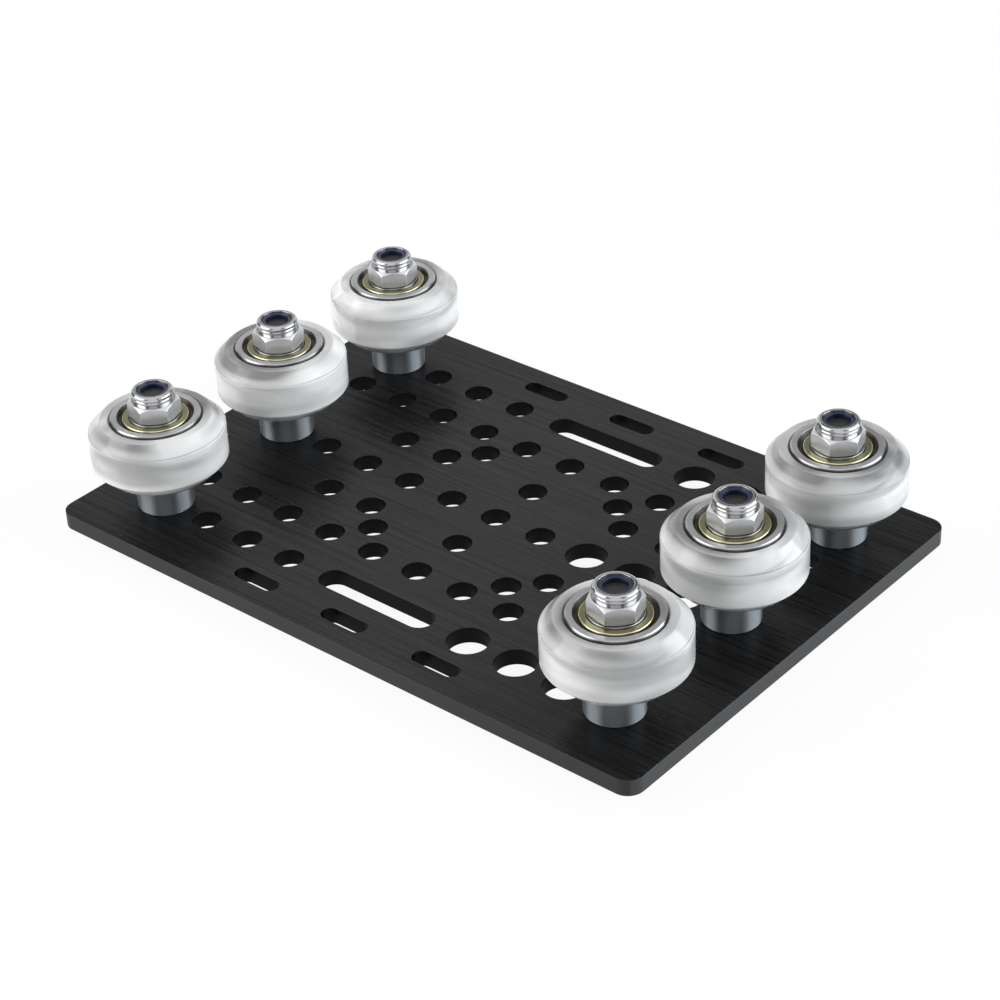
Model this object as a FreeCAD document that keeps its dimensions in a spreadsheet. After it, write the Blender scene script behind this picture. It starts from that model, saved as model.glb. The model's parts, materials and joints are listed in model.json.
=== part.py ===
import FreeCAD, Part
import math
import os

import Sketcher

# Gantry plate with six V-wheels, in millimetres and degrees.
# X runs along the plate, Y across it, Z up. The origin is under the middle of the plate,
# at the level of the screw heads that the part stands on. The wheels roll along Y.

# Driving sizes. Every one goes into the sheet, and the pieces are bound to it there.
SIZES = {
    # plate
    "plate_length": 127.0,
    "plate_width": 88.0,
    "plate_thickness": 3.0,
    "plate_corner_radius": 3.0,
    "plate_edge_break": 0.1,
    # hole field: columns along the plate, rows at both sides of its middle
    "column_pitch": 10.0,
    "side_columns": 5,
    "wheel_columns": 4,
    "row_inner": 10.1,
    "row_corner": 15.0,
    "row_outer": 20.5,
    "row_wheel": 30.6,
    "row_slot": 38.4,
    "short_slot_length": 9.4,
    "short_slot_width": 3.1,
    "short_slot_pitch": 20.0,
    "short_slot_count": 3,
    "long_slot_length": 24.4,
    "corner_hole_count": 4,
    # axle screw with a button head
    "screw_diameter": 4.9,
    "screw_tip_chamfer": 0.4,
    "screw_tip_recess": 1.0,
    "head_diameter": 9.5,
    "head_height": 2.75,
    "head_rim": 0.4,
    "head_flat_diameter": 5.2,
    "socket_flats": 3.0,
    "socket_depth": 1.6,
    # clearances on the screw, each on the radius
    "hole_clearance": 0.1,
    "spacer_clearance": 0.1,
    "shim_clearance": 0.06,
    "ring_clearance": 0.05,
    "nut_clearance": 0.05,
    # spacers and shims
    "spacer_diameter": 10.0,
    "spacer_height": 6.0,
    "spacer_chamfer": 0.2,
    "boss_diameter": 7.1,
    "boss_depth": 2.5,
    "boss_clearance": 0.05,
    "eccentricity": 0.79,
    "shim_diameter": 10.0,
    "shim_thickness": 1.0,
    # wheel tyre
    "tyre_diameter": 23.9,
    "tyre_width": 10.23,
    "tread_width": 5.9,
    "bevel_angle": 45.0,
    "tyre_lip_diameter": 13.9,
    "tyre_mouth_chamfer": 0.3,
    # ball bearing
    "bearing_diameter": 16.0,
    "bearing_width": 5.0,
    "ring_chamfer": 0.3,
    "outer_shoulder_diameter": 12.0,
    "inner_shoulder_diameter": 9.0,
    "ball_diameter": 2.38,
    "ball_circle": 10.5,
    "ball_count": 7,
    "race_clearance": 0.05,
    "cage_wall": 0.8,
    "cage_reach": 0.6,
    "cage_back": 1.4,
    "pocket_clearance": 0.06,
    # bearing shield, a dished washer of sheet metal
    "shield_thickness": 0.2,
    "shield_seat_diameter": 13.4,
    "shield_seat_depth": 0.95,
    "shield_rim_diameter": 11.4,
    "shield_slope": 0.2,
    "shield_setback": 0.25,
    "shield_gap": 0.15,
    # lock nut and its nylon insert
    "nut_flats": 8.0,
    "nut_height": 5.0,
    "nut_hex_height": 3.05,
    "nut_top_drop": 0.6,
    "nut_base_drop": 0.3,
    "nut_turn": 46.0,
    "neck_diameter": 6.7,
    "neck_height": 3.35,
    "bead_diameter": 7.0,
    "bead_height": 3.6,
    "bead_width": 0.25,
    "collar_diameter": 7.35,
    "collar_foot": 4.0,
    "collar_rise": 0.2,
    "collar_round": 0.5,
    "insert_diameter": 5.6,
    "insert_foot": 3.4,
    "insert_setback": 0.25,
    "insert_opening": 4.05,
    "insert_tip_gap": 0.05,
}

FULL_TURN = 360.0
ROUNDING = 1e-9  # lengths closer than this are the same
LEANING = 0.5  # an edge that rises by more than this share of its length stands up
OVERRUN = 2.0  # a corner trim is cut to this many times its depth and reach

# Wheel stations: column side, row side, and the way the eccentric spacer is turned
STATIONS = {
    "left_front": (-1, -1, 0),
    "left_middle": (-1, 0, 0),
    "left_rear": (-1, 1, 0),
    "right_front": (1, -1, 1),
    "right_middle": (1, 0, 1),
    "right_rear": (1, 1, -1),
}

doc = FreeCAD.newDocument("gantry_plate")
nodes = []


class Size:
    """A size kept as a number together with the expression that binds it to the sheet."""

    def __init__(self, value, text):
        self.value = float(value)
        self.text = text

    def __add__(self, other):
        other = as_size(other)
        return Size(self.value + other.value, "(%s + %s)" % (self.text, other.text))

    def __sub__(self, other):
        other = as_size(other)
        return Size(self.value - other.value, "(%s - %s)" % (self.text, other.text))

    def __mul__(self, other):
        other = as_size(other)
        return Size(self.value * other.value, "(%s * %s)" % (self.text, other.text))

    def __truediv__(self, other):
        other = as_size(other)
        return Size(self.value / other.value, "(%s / %s)" % (self.text, other.text))

    def __neg__(self):
        return self * -1

    __radd__ = __add__
    __rmul__ = __mul__


def as_size(number):
    """Wrap a plain number, and leave a Size as it is."""
    if isinstance(number, Size):
        return number
    return Size(number, "(%s)" % repr(number))


def tangent(angle):
    """Tangent of an angle in degrees, as a Size."""
    return Size(math.tan(math.radians(angle.value)), "tan(%s)" % angle.text)


def root(number):
    """Square root, as a Size."""
    return Size(math.sqrt(number.value), "sqrt(%s)" % number.text)


def fill_sheet():
    """Put every driving size into the sheet and return the sizes by name."""
    sheet = doc.addObject("Spreadsheet::Sheet", "sizes")
    for row, (name, value) in enumerate(SIZES.items(), 1):
        sheet.set("A%d" % row, name)
        sheet.set("B%d" % row, str(value))
        sheet.setAlias("B%d" % row, name)
    doc.recompute()
    return {name: Size(value, "sizes." + name) for name, value in SIZES.items()}


size = fill_sheet()

# Heights above the plate's top face, up one axle
screw_radius = size["screw_diameter"] / 2
lower_ring = size["spacer_height"] + size["shim_thickness"]
upper_ring = lower_ring + size["bearing_width"] + size["shim_thickness"]
ring_bases = (lower_ring, upper_ring)
wheel_middle = lower_ring + size["bearing_width"] + size["shim_thickness"] / 2
nut_base = upper_ring + size["bearing_width"]
insert_foot = nut_base + size["insert_foot"]
insert_top = nut_base + size["nut_height"] - size["insert_setback"]
screw_tip = nut_base + size["nut_height"] - size["screw_tip_recess"]
head_seat = -size["plate_thickness"]
head_end = head_seat - size["head_height"]
plate_top = size["head_height"] + size["plate_thickness"]


def set_place(part, name, value):
    """Bind one coordinate of a sub-part's place to the sheet."""
    part.setExpression("Placement.Base." + name, as_size(value).text)


def new_body(label):
    """An empty body with its label."""
    body = doc.addObject("PartDesign::Body", label)
    body.Label = label
    body.AllowCompound = True
    return body


def seat_on_axle(part, station):
    """Place a sub-part on the axle of a wheel station, with its zero at the plate's top face."""
    column, row, turn = STATIONS[station]
    set_place(part, "x", size["column_pitch"] * size["side_columns"] * column)
    set_place(part, "y", size["row_wheel"] * row + size["eccentricity"] * turn)
    set_place(part, "z", plate_top)


def origin_feature(body, role):
    """One of the body's own planes or axes, by its role."""
    for feature in body.Origin.OriginFeatures:
        if feature.Role == role:
            return feature
    raise ValueError(role)


def new_sketch(body, name, plane, height=None):
    """A sketch on one of the body's own planes, raised along the plane's normal if asked."""
    sketch = body.newObject("Sketcher::SketchObject", name)
    sketch.AttachmentSupport = [(origin_feature(body, plane), "")]
    sketch.MapMode = "FlatFace"
    if height is not None:
        sketch.setExpression("AttachmentOffset.Base.z", height.text)
    return sketch


def pin_point(sketch, edge, vertex, x, y):
    """Fix one vertex of the sketch at two bound coordinates."""
    for kind, axis, size_here in (("DistanceX", -2, as_size(x)), ("DistanceY", -1, as_size(y))):
        if size_here.value == 0.0:
            sketch.addConstraint(Sketcher.Constraint("PointOnObject", edge, vertex, axis))
            continue
        index = sketch.addConstraint(
            Sketcher.Constraint(kind, -1, 1, edge, vertex, size_here.value)
        )
        sketch.setExpression("Constraints[%d]" % index, size_here.text)


def add_arc(sketch, start, end, centre):
    """An arc from start to end about centre, the short way round. Says whether it runs backwards."""
    middle = FreeCAD.Vector(as_size(centre[0]).value, as_size(centre[1]).value, 0)
    ends = [FreeCAD.Vector(as_size(x).value, as_size(y).value, 0) for x, y in (start, end)]
    radius = (ends[0] - middle).Length
    angles = [math.atan2(end.y - middle.y, end.x - middle.x) for end in ends]
    backwards = math.sin(angles[1] - angles[0]) < -ROUNDING
    if backwards:
        angles.reverse()
    circle = Part.Circle(middle, FreeCAD.Vector(0, 0, 1), radius)
    edge = sketch.addGeometry(Part.ArcOfCircle(circle, angles[0], angles[1]), False)
    return edge, backwards


def close_profile(sketch, points, arcs=None):
    """Draw a closed outline through points. arcs gives, by the number of its first point, the
    centre of each side that is an arc."""
    arcs = arcs or {}
    edges = []
    for number, start in enumerate(points):
        end = points[(number + 1) % len(points)]
        if number in arcs:
            edges.append(add_arc(sketch, start, end, arcs[number]))
            continue
        ends = [FreeCAD.Vector(as_size(x).value, as_size(y).value, 0) for x, y in (start, end)]
        edges.append((sketch.addGeometry(Part.LineSegment(ends[0], ends[1]), False), False))
    for number, (edge, backwards) in enumerate(edges):
        following, next_backwards = edges[(number + 1) % len(edges)]
        last = 1 if backwards else 2
        first = 2 if next_backwards else 1
        sketch.addConstraint(Sketcher.Constraint("Coincident", edge, last, following, first))
    for number, (x, y) in enumerate(points):
        edge, backwards = edges[number]
        if number in arcs:
            pin_centre(sketch, edge, arcs[number], points[number], points[(number + 1) % len(points)])
        pin_point(sketch, edge, 2 if backwards else 1, x, y)


def pin_centre(sketch, edge, centre, start, end):
    """Fix the centre of an arc whose ends are fixed too: two fixed ends leave it one freedom."""
    across = abs(as_size(start[1]).value - as_size(end[1]).value) < ROUNDING
    axis, kind, number = (-1, "DistanceY", 1) if across else (-2, "DistanceX", 0)
    place = as_size(centre[number])
    if place.value == 0.0:
        sketch.addConstraint(Sketcher.Constraint("PointOnObject", edge, 3, axis))
        return
    index = sketch.addConstraint(Sketcher.Constraint(kind, -1, 1, edge, 3, place.value))
    sketch.setExpression("Constraints[%d]" % index, place.text)


def lathe(body, name, profiles, cut=False):
    """Turn closed profiles, each given as points or as points with arcs, about the axle."""
    sketch = new_sketch(body, name + "_profile", "XZ_Plane")
    for profile in profiles:
        if isinstance(profile, tuple):
            close_profile(sketch, profile[0], profile[1])
        else:
            close_profile(sketch, profile)
    kind = "PartDesign::Groove" if cut else "PartDesign::Revolution"
    turned = body.newObject(kind, name)
    turned.Profile = sketch
    turned.ReferenceAxis = (sketch, ["V_Axis"])
    turned.Angle = FULL_TURN
    body.Tip = turned
    doc.recompute()
    return turned


def check_cut(body, feature, before):
    """A cut that takes nothing away is a mistake."""
    if not body.Shape.Volume < before:
        raise ValueError("nothing cut by " + feature.Name)


def pad(body, sketch, name, length, down=False):
    """Raise a sketch into a solid, or lower it."""
    solid = body.newObject("PartDesign::Pad", name)
    solid.Profile = sketch
    solid.setExpression("Length", length.text)
    solid.Reversed = down
    body.Tip = solid
    doc.recompute()
    return solid


def cut_through(body, sketch, name):
    """Cut a sketch through the whole body, both ways."""
    before = body.Shape.Volume
    pocket = body.newObject("PartDesign::Pocket", name)
    pocket.Profile = sketch
    pocket.Type = "ThroughAll"
    pocket.Midplane = True
    body.Tip = pocket
    doc.recompute()
    check_cut(body, pocket, before)
    return pocket


def cut_up(body, sketch, name, depth):
    """Cut a sketch upwards to a depth."""
    before = body.Shape.Volume
    pocket = body.newObject("PartDesign::Pocket", name)
    pocket.Profile = sketch
    pocket.setExpression("Length", depth.text)
    pocket.Reversed = True
    body.Tip = pocket
    doc.recompute()
    check_cut(body, pocket, before)
    return pocket


def draw_circles(sketch, centres, diameter):
    """Circles of one diameter at bound centres."""
    edges = []
    for x, y in centres:
        centre = FreeCAD.Vector(as_size(x).value, as_size(y).value, 0)
        circle = Part.Circle(centre, FreeCAD.Vector(0, 0, 1), diameter.value / 2)
        edge = sketch.addGeometry(circle, False)
        pin_point(sketch, edge, 3, x, y)
        edges.append(edge)
    index = sketch.addConstraint(Sketcher.Constraint("Diameter", edges[0], diameter.value))
    sketch.setExpression("Constraints[%d]" % index, diameter.text)
    for edge in edges[1:]:
        sketch.addConstraint(Sketcher.Constraint("Equal", edges[0], edge))


def draw_slot(sketch, x, y, length, width):
    """A slot along X with round ends, about a bound centre."""
    reach = (length - width) / 2
    left, right, low, high = x - reach, x + reach, y - width / 2, y + width / 2
    corners = [(left, low), (right, low), (right, high), (left, high)]
    edges = [
        add_line(sketch, left, right, low),
        add_round_end(sketch, right, y, width, -math.pi / 2),
        add_line(sketch, right, left, high),
        add_round_end(sketch, left, y, width, math.pi / 2),
    ]
    for number, edge in enumerate(edges):
        following = edges[(number + 1) % len(edges)]
        sketch.addConstraint(Sketcher.Constraint("Coincident", edge, 2, following, 1))
        pin_point(sketch, edge, 1, *corners[number])
    for edge, centre in ((edges[1], right), (edges[3], left)):
        index = sketch.addConstraint(Sketcher.Constraint("DistanceX", -1, 1, edge, 3, centre.value))
        sketch.setExpression("Constraints[%d]" % index, centre.text)


def add_line(sketch, start, end, y):
    """A straight side of a slot, along X."""
    ends = [FreeCAD.Vector(x.value, y.value, 0) for x in (start, end)]
    return sketch.addGeometry(Part.LineSegment(ends[0], ends[1]), False)


def add_round_end(sketch, x, y, width, first):
    """The half circle that ends a slot, from the angle first on."""
    middle = FreeCAD.Vector(x.value, y.value, 0)
    circle = Part.Circle(middle, FreeCAD.Vector(0, 0, 1), width.value / 2)
    return sketch.addGeometry(Part.ArcOfCircle(circle, first, first + math.pi), False)


def repeat_along(body, feature, name, pitch, count):
    """Repeat a feature along X at a bound pitch."""
    row = body.newObject("PartDesign::LinearPattern", name)
    row.Originals = [feature]
    row.Direction = (origin_feature(body, "X_Axis"), [""])
    row.setExpression("Length", (pitch * (count - 1)).text)
    row.setExpression("Occurrences", count.text)
    body.Tip = row
    doc.recompute()
    return row


def repeat_round(body, feature, name, count):
    """Repeat a feature in equal steps round Z."""
    ring = body.newObject("PartDesign::PolarPattern", name)
    ring.Originals = [feature]
    ring.Axis = (origin_feature(body, "Z_Axis"), [""])
    ring.Angle = FULL_TURN
    ring.setExpression("Occurrences", as_size(count).text)
    body.Tip = ring
    doc.recompute()
    return ring


def drill(body, name, centres, diameter, pitch=None, count=None):
    """Holes through the plate at the centres, repeated along X if a pitch is given."""
    sketch = new_sketch(body, name + "_sketch", "XY_Plane")
    draw_circles(sketch, centres, diameter)
    holes = cut_through(body, sketch, name)
    if pitch is None:
        return holes
    before = body.Shape.Volume
    row = repeat_along(body, holes, name + "_row", pitch, count)
    check_cut(body, row, before)
    return row


def make_outline(body):
    """The plate's rectangle with rounded corners and a broken edge all round."""
    half_length = size["plate_length"] / 2
    half_width = size["plate_width"] / 2
    sketch = new_sketch(body, "plate_sketch", "XY_Plane")
    close_profile(
        sketch,
        [
            (-half_length, -half_width),
            (half_length, -half_width),
            (half_length, half_width),
            (-half_length, half_width),
        ],
    )
    slab = pad(body, sketch, "slab", size["plate_thickness"])
    upright = [name for name, steep in edges_by_lean(slab) if steep]
    corners = body.newObject("PartDesign::Fillet", "corners")
    corners.Base = (slab, upright)
    corners.setExpression("Radius", size["plate_corner_radius"].text)
    body.Tip = corners
    doc.recompute()
    level = [name for name, steep in edges_by_lean(corners) if not steep]
    break_edges(body, corners, level, "rim", size["plate_edge_break"])


def edges_by_lean(feature):
    """Each edge's name, and whether it stands up rather than lying level."""
    return [
        ("Edge%d" % number, abs(edge.tangentAt(edge.FirstParameter).z) > LEANING)
        for number, edge in enumerate(feature.Shape.Edges, 1)
    ]


def break_edges(body, base, edges, name, width):
    """A small chamfer along the named edges of a feature."""
    broken = body.newObject("PartDesign::Chamfer", name)
    broken.Base = (base, edges)
    broken.setExpression("Size", width.text)
    body.Tip = broken
    doc.recompute()


def drill_screw_holes(body, first, inner_wheel, screw_hole):
    """The holes for screws: rows at both sides of the middle, the middle row, and a square of four."""
    pitch = size["column_pitch"]
    wheels = size["wheel_columns"]
    columns = size["side_columns"] * 2 + 1
    inner, outer, wheel = size["row_inner"], size["row_outer"], size["row_wheel"]
    drill(body, "middle_holes", [(first, 0)], screw_hole, pitch, columns - wheels)
    drill(body, "wheel_holes", [(first, -wheel), (first, wheel)], screw_hole, pitch, wheels)
    drill(body, "outer_holes", [(first, -outer), (first, outer)], screw_hole, pitch, columns)
    places = [0, inner_wheel, inner_wheel + pitch, -inner_wheel, -(inner_wheel + pitch)]
    drill(body, "inner_holes", [(x, row * inner) for x in places for row in (-1, 1)], screw_hole)
    corner = drill(body, "corner_holes", [(size["row_corner"], size["row_corner"])], screw_hole)
    repeat_round(body, corner, "corner_hole_ring", size["corner_hole_count"])


def cut_slots(body, screw_hole):
    """The short slots near both long edges, and a long slot between the wheels of each edge."""
    short_slots = new_sketch(body, "short_slot_sketch", "XY_Plane")
    pitch, count = size["short_slot_pitch"], size["short_slot_count"]
    length, width = size["short_slot_length"], size["short_slot_width"]
    for row in (-1, 1):
        draw_slot(short_slots, -(pitch * (count - 1) / 2), size["row_slot"] * row, length, width)
    slots = cut_through(body, short_slots, "short_slots")
    repeat_along(body, slots, "short_slot_rows", pitch, count)
    long_slots = new_sketch(body, "long_slot_sketch", "XY_Plane")
    for row in (-1, 1):
        draw_slot(long_slots, as_size(0), size["row_wheel"] * row, size["long_slot_length"], screw_hole)
    cut_through(body, long_slots, "long_slots")


def make_plate():
    """The drilled plate: its screw holes, eccentric-spacer holes and slots."""
    body = new_body("gantry_plate")
    set_place(body, "z", size["head_height"])
    make_outline(body)
    pitch = size["column_pitch"]
    sides = size["side_columns"]
    wheels = size["wheel_columns"]
    screw_hole = size["screw_diameter"] + size["hole_clearance"] * 2
    boss_hole = size["boss_diameter"] + size["boss_clearance"] * 2
    inner_wheel = pitch * (sides - wheels + 1)
    drill_screw_holes(body, -(pitch * sides), inner_wheel, screw_hole)
    places = [(inner_wheel, size["row_wheel"] * row) for row in (-1, 0, 1)]
    drill(body, "eccentric_holes", places, boss_hole, pitch, wheels)
    cut_slots(body, screw_hole)
    nodes.append(body)


def make_tyre(station):
    """Solid wheel with a flat tread between two bevels, and a lip inside between the bearings."""
    body = new_body("wheel_tyre_" + station)
    half_width = size["tyre_width"] / 2
    half_tread = size["tread_width"] / 2
    half_lip = size["shim_thickness"] / 2
    tread = size["tyre_diameter"] / 2
    face = tread - (half_width - half_tread) / tangent(size["bevel_angle"])
    seat = size["bearing_diameter"] / 2
    lip = size["tyre_lip_diameter"] / 2
    mouth = size["tyre_mouth_chamfer"]
    low = wheel_middle - half_width
    high = wheel_middle + half_width
    outline = [
        (seat + mouth, low),
        (face, low),
        (tread, wheel_middle - half_tread),
        (tread, wheel_middle + half_tread),
        (face, high),
        (seat + mouth, high),
        (seat, high - mouth),
        (seat, wheel_middle + half_lip),
        (lip, wheel_middle + half_lip),
        (lip, wheel_middle - half_lip),
        (seat, wheel_middle - half_lip),
        (seat, low + mouth),
    ]
    lathe(body, "tyre", [outline])
    seat_on_axle(body, station)
    nodes.append(body)


def make_outer_rings(station):
    """Two outer rings, each with a ball groove inside and a stepped seat for a shield at each end."""
    body = new_body("bearing_outer_rings_" + station)
    outside = size["bearing_diameter"] / 2
    seat = size["shield_seat_diameter"] / 2
    shoulder = size["outer_shoulder_diameter"] / 2
    depth = size["shield_seat_depth"]
    chamfer = size["ring_chamfer"]
    width = size["bearing_width"]
    circle = size["ball_circle"] / 2
    groove = groove_reach(shoulder - circle)
    profiles = []
    for base in ring_bases:
        middle = base + width / 2
        outline = [
            (outside - chamfer, base),
            (outside, base + chamfer),
            (outside, base + width - chamfer),
            (outside - chamfer, base + width),
            (seat, base + width),
            (seat, base + width - depth),
            (shoulder, base + width - depth),
            (shoulder, middle + groove),
            (shoulder, middle - groove),
            (shoulder, base + depth),
            (seat, base + depth),
            (seat, base),
        ]
        profiles.append((outline, {7: (circle, middle)}))
    lathe(body, "outer_rings", profiles)
    seat_on_axle(body, station)
    nodes.append(body)


def groove_reach(offset):
    """Half the width of the ball groove where it meets a shoulder at this offset from the ball."""
    radius = size["ball_diameter"] / 2 + size["race_clearance"]
    return root(radius * radius - offset * offset)


def make_inner_rings(station):
    """Two inner rings, each with a ball groove outside, clamped on the screw."""
    body = new_body("bearing_inner_rings_" + station)
    bore = screw_radius + size["ring_clearance"]
    shoulder = size["inner_shoulder_diameter"] / 2
    chamfer = size["ring_chamfer"]
    width = size["bearing_width"]
    circle = size["ball_circle"] / 2
    groove = groove_reach(circle - shoulder)
    profiles = []
    for base in ring_bases:
        middle = base + width / 2
        outline = [
            (bore + chamfer, base),
            (shoulder, base),
            (shoulder, middle - groove),
            (shoulder, middle + groove),
            (shoulder, base + width),
            (bore + chamfer, base + width),
            (bore, base + width - chamfer),
            (bore, base + chamfer),
        ]
        profiles.append((outline, {2: (circle, middle)}))
    lathe(body, "inner_rings", profiles)
    seat_on_axle(body, station)
    nodes.append(body)


def shield_outline(face, inward):
    """Section of one shield. face is the height of the bearing's end, inward points into it."""
    skin = size["shield_thickness"] * inward
    near = face + size["shield_setback"] * inward
    seat = face + size["shield_seat_depth"] * inward
    edge = size["inner_shoulder_diameter"] / 2 + size["shield_gap"]
    rim = size["shield_rim_diameter"] / 2
    foot = rim + size["shield_slope"]
    outside = size["shield_seat_diameter"] / 2
    return [
        (edge, near),
        (rim, near),
        (foot, seat - skin),
        (outside, seat - skin),
        (outside, seat),
        (foot - size["shield_thickness"], seat),
        (rim - size["shield_thickness"], near + skin),
        (edge, near + skin),
    ]


def make_shields(station):
    """Four shields, two to a bearing, dished into the seats of the outer rings."""
    body = new_body("bearing_shields_" + station)
    profiles = []
    for base in ring_bases:
        profiles.append(shield_outline(base, 1))
        profiles.append(shield_outline(base + size["bearing_width"], -1))
    lathe(body, "shields", profiles)
    seat_on_axle(body, station)
    nodes.append(body)


def draw_ball_sections(sketch, radius):
    """Half a disc for the ball of each bearing, both on the upright line through the balls."""
    circle = size["ball_circle"] / 2
    up = FreeCAD.Vector(0, 0, 1)
    quarter = math.pi / 2
    for base in ring_bases:
        middle = base + size["bearing_width"] / 2
        low = FreeCAD.Vector(circle.value, middle.value - radius.value, 0)
        high = FreeCAD.Vector(circle.value, middle.value + radius.value, 0)
        side = Part.Circle(FreeCAD.Vector(circle.value, middle.value, 0), up, radius.value)
        arc = sketch.addGeometry(Part.ArcOfCircle(side, -quarter, quarter), False)
        line = sketch.addGeometry(Part.LineSegment(high, low), False)
        sketch.addConstraint(Sketcher.Constraint("Coincident", arc, 2, line, 1))
        sketch.addConstraint(Sketcher.Constraint("Coincident", line, 2, arc, 1))
        pin_point(sketch, line, 1, circle, middle + radius)
        pin_point(sketch, line, 2, circle, middle - radius)
        index = sketch.addConstraint(Sketcher.Constraint("DistanceX", -1, 1, arc, 3, circle.value))
        sketch.setExpression("Constraints[%d]" % index, circle.text)
    low = FreeCAD.Vector(circle.value, 0, 0)
    high = FreeCAD.Vector(circle.value, lower_ring.value, 0)
    axis = sketch.addGeometry(Part.LineSegment(low, high), True)
    pin_point(sketch, axis, 1, circle, 0)
    pin_point(sketch, axis, 2, circle, lower_ring)


def turn_balls(body, name, radius, cut=False):
    """Turn the two half discs into balls, or into ball-shaped pockets, and repeat them round."""
    sketch = new_sketch(body, name + "_profile", "XZ_Plane")
    draw_ball_sections(sketch, radius)
    kind = "PartDesign::Groove" if cut else "PartDesign::Revolution"
    turned = body.newObject(kind, name)
    turned.Profile = sketch
    turned.ReferenceAxis = (sketch, ["Axis0"])
    turned.Angle = FULL_TURN
    body.Tip = turned
    doc.recompute()
    repeat_round(body, turned, name + "_ring", size["ball_count"])


def make_balls(station):
    """The balls of both bearings."""
    body = new_body("bearing_balls_" + station)
    turn_balls(body, "balls", size["ball_diameter"] / 2)
    seat_on_axle(body, station)
    nodes.append(body)


def make_cages(station):
    """Two crown cages: a ring on one side of the balls, with fingers that reach between them."""
    body = new_body("bearing_cages_" + station)
    inside = (size["ball_circle"] - size["cage_wall"]) / 2
    outside = (size["ball_circle"] + size["cage_wall"]) / 2
    profiles = []
    for base in ring_bases:
        middle = base + size["bearing_width"] / 2
        low = middle - size["cage_reach"]
        high = middle + size["cage_back"]
        profiles.append([(inside, low), (outside, low), (outside, high), (inside, high)])
    lathe(body, "cage_rings", profiles)
    before = body.Shape.Volume
    turn_balls(body, "pockets", size["ball_diameter"] / 2 + size["pocket_clearance"], cut=True)
    check_cut(body, body.Tip, before)
    seat_on_axle(body, station)
    nodes.append(body)


def make_shim(name, station, foot):
    """One flat washer on the axle, its underside at the height foot."""
    body = new_body(name + "_" + station)
    inside = screw_radius + size["shim_clearance"]
    outside = size["shim_diameter"] / 2
    top = foot + size["shim_thickness"]
    lathe(body, "shim", [[(inside, foot), (outside, foot), (outside, top), (inside, top)]])
    seat_on_axle(body, station)
    return body


def make_plain_spacer(station):
    """Round spacer between the plate and the wheel, with broken edges."""
    body = new_body("plain_spacer_" + station)
    inside = screw_radius + size["spacer_clearance"]
    outside = size["spacer_diameter"] / 2
    height = size["spacer_height"]
    chamfer = size["spacer_chamfer"]
    outline = [
        (inside, 0),
        (outside - chamfer, 0),
        (outside, chamfer),
        (outside, height - chamfer),
        (outside - chamfer, height),
        (inside, height),
    ]
    lathe(body, "spacer", [outline])
    seat_on_axle(body, station)
    nodes.append(body)


def make_eccentric_spacer(station):
    """Round spacer whose boss sits in the plate and whose bore runs beside the boss's middle, so
    that turning the spacer moves the wheel towards the rail. It stands at the middle of its throw."""
    body = new_body("eccentric_spacer_" + station)
    middle = -(size["eccentricity"] * STATIONS[station][2])
    top = new_sketch(body, "body_sketch", "XY_Plane")
    draw_circles(top, [(0, middle)], size["spacer_diameter"])
    drum = pad(body, top, "drum", size["spacer_height"])
    rims = [name for name, steep in edges_by_lean(drum) if not steep]
    break_edges(body, drum, rims, "broken_edges", size["spacer_chamfer"])
    under = new_sketch(body, "boss_sketch", "XY_Plane")
    draw_circles(under, [(0, middle)], size["boss_diameter"])
    pad(body, under, "boss", size["boss_depth"], down=True)
    bore = new_sketch(body, "bore_sketch", "XY_Plane")
    draw_circles(bore, [(0, 0)], size["screw_diameter"] + size["spacer_clearance"] * 2)
    cut_through(body, bore, "bore")
    seat_on_axle(body, station)
    nodes.append(body)


def hexagon(flats):
    """Corners of a hexagon by its width across flats, one corner along X."""
    corner = flats / root(as_size(3))
    return [
        (corner, as_size(0)),
        (corner / 2, flats / 2),
        (-(corner / 2), flats / 2),
        (-corner, as_size(0)),
        (-(corner / 2), -(flats / 2)),
        (corner / 2, -(flats / 2)),
    ]


def make_screw(station):
    """Button-head screw up through plate, spacer and bearings, its tip just inside the nut."""
    body = new_body("axle_screw_" + station)
    chamfer = size["screw_tip_chamfer"]
    rim = head_seat - size["head_rim"]
    head = size["head_diameter"] / 2
    flat = size["head_flat_diameter"] / 2
    outline = [
        (0, screw_tip),
        (0, head_end),
        (flat, head_end),
        (head, rim),
        (head, head_seat),
        (screw_radius, head_seat),
        (screw_radius, screw_tip - chamfer),
        (screw_radius - chamfer, screw_tip),
    ]
    rise = rim - head_end
    dome = rim + (head * head - flat * flat - rise * rise) / (rise * 2)
    lathe(body, "shank_and_head", [(outline, {2: (0, dome)})])
    socket = new_sketch(body, "socket_sketch", "XY_Plane", head_end)
    close_profile(socket, hexagon(size["socket_flats"]))
    cut_up(body, socket, "socket", size["socket_depth"])
    seat_on_axle(body, station)
    nodes.append(body)


def trim_corners(body):
    """Turn the hexagon's corners down at both ends, as a turned bar leaves them. The cut starts at
    the flats, and runs past the corners by as much again."""
    flat = size["nut_flats"] / 2
    corner = size["nut_flats"] / root(as_size(3))
    beyond = flat + (corner - flat) * OVERRUN
    top = nut_base + size["nut_hex_height"]
    before = body.Shape.Volume
    drops = ((top, -size["nut_top_drop"]), (nut_base, size["nut_base_drop"]))
    sections = [[(flat, end), (beyond, end), (beyond, end + drop * OVERRUN)] for end, drop in drops]
    groove = lathe(body, "corner_trim", sections, cut=True)
    check_cut(body, groove, before)


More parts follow.
